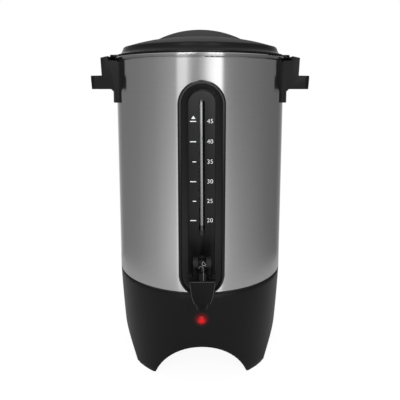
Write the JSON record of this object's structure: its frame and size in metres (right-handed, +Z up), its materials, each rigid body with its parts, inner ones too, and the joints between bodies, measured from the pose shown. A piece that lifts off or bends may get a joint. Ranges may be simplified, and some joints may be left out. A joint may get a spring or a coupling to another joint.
{
  "type": "coffee urn",
  "caption": "Stainless steel coffee urn on a black footed base, with a sight gauge, a push-lever tap, side handles, a lift-off lid and a pump and basket inside.",
  "frame": {"origin": "centre of the circle on which the feet stand, on the tank's axis at floor level", "axes": "+Z up along the tank's axis; -Y towards the tap and sight gauge; +X towards the right-hand handle as seen from the front"},
  "size_m": [0.268, 0.2604, 0.4219],
  "materials": {
    "tank_steel": "satin, lightly polished",
    "plated_steel": "zinc plated",
    "black_plastic": "satin black moulding",
    "dark_plastic": "matt",
    "dark_plate": "matt black",
    "black_rubber": "matt",
    "seal_rubber": "matt red-brown silicone",
    "pale_silicone": "matt silicone",
    "red_lens": "clear red, glossy",
    "amber_lamp": "glossy",
    "heater_alloy": "dull",
    "basket_alloy": "satin",
    "cream_plastic": "ceramic-like",
    "wire_sleeve": "woven sleeve",
    "gauge_glass": "clear tube"
  },
  "bodies": {
    "urn": {"tank": "tank_steel", "base_studs": "plated_steel", "stud_nuts": "plated_steel", "base_skirt": "black_plastic", "base_gasket": "black_rubber", "foot_pads": "black_rubber", "base_floor": "dark_plate", "floor_screws": "plated_steel", "cord_gland": "black_rubber", "pilot_lens": "red_lens", "pilot_holder": "dark_plastic", "pilot_lamp": "amber_lamp", "heater_well": "tank_steel", "pump_heater": "heater_alloy", "heater_clamp": "plated_steel", "heater_nuts": "plated_steel", "shield_spacer": "plated_steel", "heat_shield": "heater_alloy", "warm_heater": "heater_alloy", "thermostat": "cream_plastic", "thermal_fuse": "plated_steel", "terminal_block": "cream_plastic", "wiring": "wire_sleeve", "gauge_bezel": "black_plastic", "bezel_screw": "plated_steel", "bezel_washer": "seal_rubber", "gauge_tube": "gauge_glass", "gauge_cap": "black_rubber", "gauge_collar": "dark_plastic", "gauge_seal": "black_rubber", "gauge_sleeve": "black_rubber", "tap_body": "black_plastic", "tap_washer_outer": "seal_rubber", "collar_washer": "seal_rubber", "tap_washer_inner": "seal_rubber", "tap_nut": "plated_steel", "tap_bonnet": "black_plastic", "tap_spring": "plated_steel", "tap_pin": "plated_steel", "handle_right": "black_plastic", "handle_left": "black_plastic", "handle_screws": "plated_steel", "handle_washers": "seal_rubber"},
    "tap_stem": {"tap_stem": "plated_steel", "tap_seat_cup": "pale_silicone"},
    "tap_lever": {"tap_lever": "black_plastic"},
    "pump": {"pump_stem": "basket_alloy", "pump_bell": "basket_alloy"},
    "pump_valve": {"pump_valve": "basket_alloy"},
    "basket": {"coffee_basket": "basket_alloy"},
    "basket_cover": {"basket_cover": "basket_alloy"},
    "lid": {"lid": "black_plastic"}
  },
  "joints": [
    {"name": "tap_lever_hinge", "type": "hinge", "parent": "urn", "child": "tap_lever", "pos_m": [0, -0.137, 0.164], "axis": [1, 0, 0], "range_deg": [0, 12], "stiffness_Nm_per_rad": 0.025, "springref_deg": -28.65},
    {"name": "tap_stem_slide", "type": "slide", "parent": "urn", "child": "tap_stem", "axis": [0, 0, 1], "range_m": [0, 0.0017], "deforming": ["tap_spring"]},
    {"name": "pump_lift", "type": "slide", "parent": "urn", "child": "pump", "axis": [0, 0, 1], "range_m": [0, 0.29]},
    {"name": "pump_valve_slide", "type": "slide", "parent": "pump", "child": "pump_valve", "axis": [0, 0, 1], "range_m": [0, 0.0015]},
    {"name": "basket_lift", "type": "slide", "parent": "pump", "child": "basket", "axis": [0, 0, 1], "range_m": [0, 0.13]},
    {"name": "cover_lift", "type": "slide", "parent": "basket", "child": "basket_cover", "axis": [0, 0, 1], "range_m": [0, 0.06]},
    {"name": "lid_lift", "type": "slide", "parent": "basket_cover", "child": "lid", "axis": [0, 0, 1], "range_m": [0, 0.1]}
  ],
  "couplings": [
    {"joint": "tap_stem_slide", "follows": "tap_lever_hinge", "m_per_rad": 0.0075}
  ]
}
